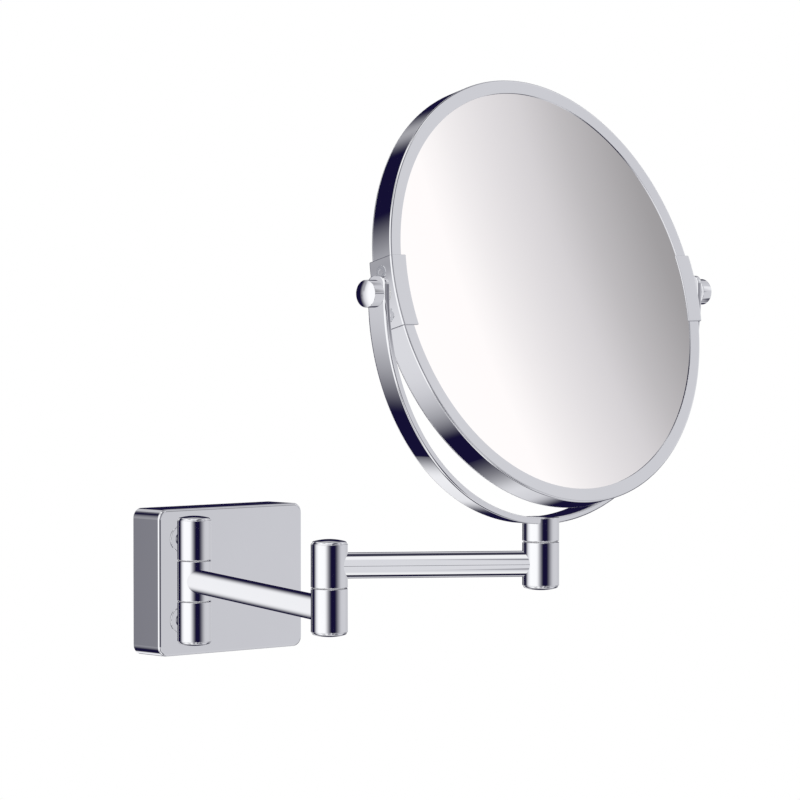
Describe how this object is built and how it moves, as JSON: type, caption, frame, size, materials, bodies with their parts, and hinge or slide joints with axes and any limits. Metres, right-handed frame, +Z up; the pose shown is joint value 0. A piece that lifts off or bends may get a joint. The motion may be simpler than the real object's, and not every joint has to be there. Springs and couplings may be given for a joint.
{
  "type": "extendable shaving mirror",
  "caption": "Wall-mounted round shaving mirror, plain on one side and magnifying on the other, that tilts in a yoke on a folding two-part arm.",
  "frame": {"origin": "centre of the wall plate's back face, on the wall", "axes": "+Z up, +Y into the wall, +X to the right of someone who faces the wall"},
  "size_m": [0.2282, 0.2969, 0.2817],
  "materials": {
    "chrome": "polished chrome plate",
    "steel": "bright turned steel",
    "zinc_plate": "zinc-plated pressed steel",
    "bearing_plastic": "smooth natural acetal",
    "silvered_glass": "polished silvered glass",
    "backing_board": "dull dark sheet"
  },
  "bodies": {
    "base": {"cover": "chrome", "wall_bracket": "zinc_plate", "cover_set_screw": "steel", "rosettes": "chrome", "post_upper": "chrome", "post_lower": "chrome", "post_nuts": "steel", "knuckle_upper": "chrome", "knuckle_lower": "chrome", "knuckle_cap_upper": "chrome", "knuckle_cap_lower": "chrome", "hinge_pin": "steel", "hinge_washers": "bearing_plastic"},
    "arm_1": {"arm_1_hub": "chrome", "arm_1_bushes": "bearing_plastic", "arm_1_tube": "chrome", "elbow_lower": "chrome", "elbow_cap_lower": "chrome", "elbow_pin": "steel", "elbow_washer": "bearing_plastic", "elbow_circlip": "steel"},
    "arm_2": {"elbow_upper": "chrome", "elbow_cap_upper": "chrome", "elbow_bush": "bearing_plastic", "arm_2_tube": "chrome", "swivel_hub": "chrome", "swivel_cap": "chrome", "swivel_bush": "bearing_plastic"},
    "yoke": {"swivel_circlip": "steel", "swivel_pin": "steel", "swivel_washer": "bearing_plastic", "yoke_stub": "chrome", "yoke_band": "chrome", "yoke_screw": "steel"},
    "mirror": {"frame_ring": "chrome", "frame_rear_rim": "chrome", "magnifying_glass": "silvered_glass", "plain_glass": "silvered_glass", "backing_disc": "backing_board", "spacer_ring": "bearing_plastic", "clip_left": "chrome", "clip_right": "chrome", "clip_screws": "steel", "pivot_stud_left": "steel", "pivot_stud_right": "steel", "pivot_spacers": "bearing_plastic", "pivot_washers": "steel", "knob_left": "chrome", "knob_right": "chrome"}
  },
  "joints": [
    {"name": "arm_1_swing", "type": "hinge", "parent": "base", "child": "arm_1", "pos_m": [-0.03385, -0.0323, 0.0015], "axis": [0, 0, 1], "range_deg": [-69, 109]},
    {"name": "elbow_swing", "type": "hinge", "parent": "arm_1", "child": "arm_2", "pos_m": [-0.09877, -0.20874, 0.022], "axis": [0, 0, 1], "continuous": true},
    {"name": "yoke_swivel", "type": "hinge", "parent": "arm_2", "child": "yoke", "pos_m": [-0.01839, -0.26481, 0.0325], "axis": [0, 0, 1], "continuous": true},
    {"name": "mirror_tilt", "type": "hinge", "parent": "yoke", "child": "mirror", "pos_m": [-0.01839, -0.26481, 0.1467], "axis": [0.9991, 0.0419, 0], "continuous": true}
  ]
}
